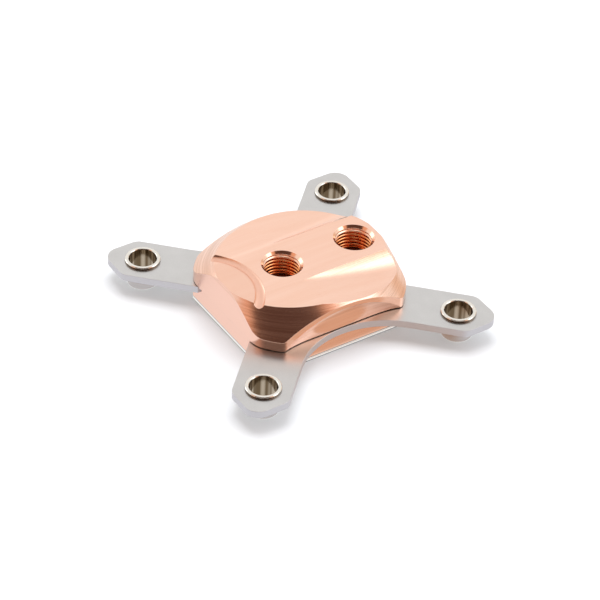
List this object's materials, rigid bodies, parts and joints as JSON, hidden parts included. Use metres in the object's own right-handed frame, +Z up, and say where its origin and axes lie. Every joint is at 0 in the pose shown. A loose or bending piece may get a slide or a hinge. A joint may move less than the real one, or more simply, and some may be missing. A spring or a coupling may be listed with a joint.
{
  "type": "liquid cooling cold plate",
  "caption": "Milled copper liquid cooling block with threaded ports on top, a finned contact plate below and slotted-in steel mounting brackets with flanged bushings.",
  "frame": {"origin": "centre of the contact face, level with the underside of the cold plate", "axes": "+X along the line of the ports, from the inlet to the outlet, +Z up out of the ports' mouths"},
  "size_m": [0.0946, 0.0946, 0.0207],
  "materials": {
    "copper_body": "brushed bare copper",
    "plated_base": "nickel plated copper",
    "insert_steel": "plain sheet",
    "seal_rubber": "matt",
    "bracket_steel": "satin",
    "bushing_nickel": "bright nickel",
    "screw_steel": "plain"
  },
  "bodies": {
    "root": {"top_housing": "copper_body", "cold_plate": "plated_base", "jet_plate": "insert_steel", "main_seal": "seal_rubber", "front_bracket": "bracket_steel", "rear_bracket": "bracket_steel", "front_left_bushing": "bushing_nickel", "front_right_bushing": "bushing_nickel", "rear_left_bushing": "bushing_nickel", "rear_right_bushing": "bushing_nickel", "front_left_clamp_screw": "screw_steel", "front_right_clamp_screw": "screw_steel", "rear_left_clamp_screw": "screw_steel", "rear_right_clamp_screw": "screw_steel", "front_left_plate_screw": "screw_steel", "front_right_plate_screw": "screw_steel", "rear_left_plate_screw": "screw_steel", "rear_right_plate_screw": "screw_steel", "front_middle_plate_screw": "screw_steel", "rear_middle_plate_screw": "screw_steel"}
  },
  "joints": []
}
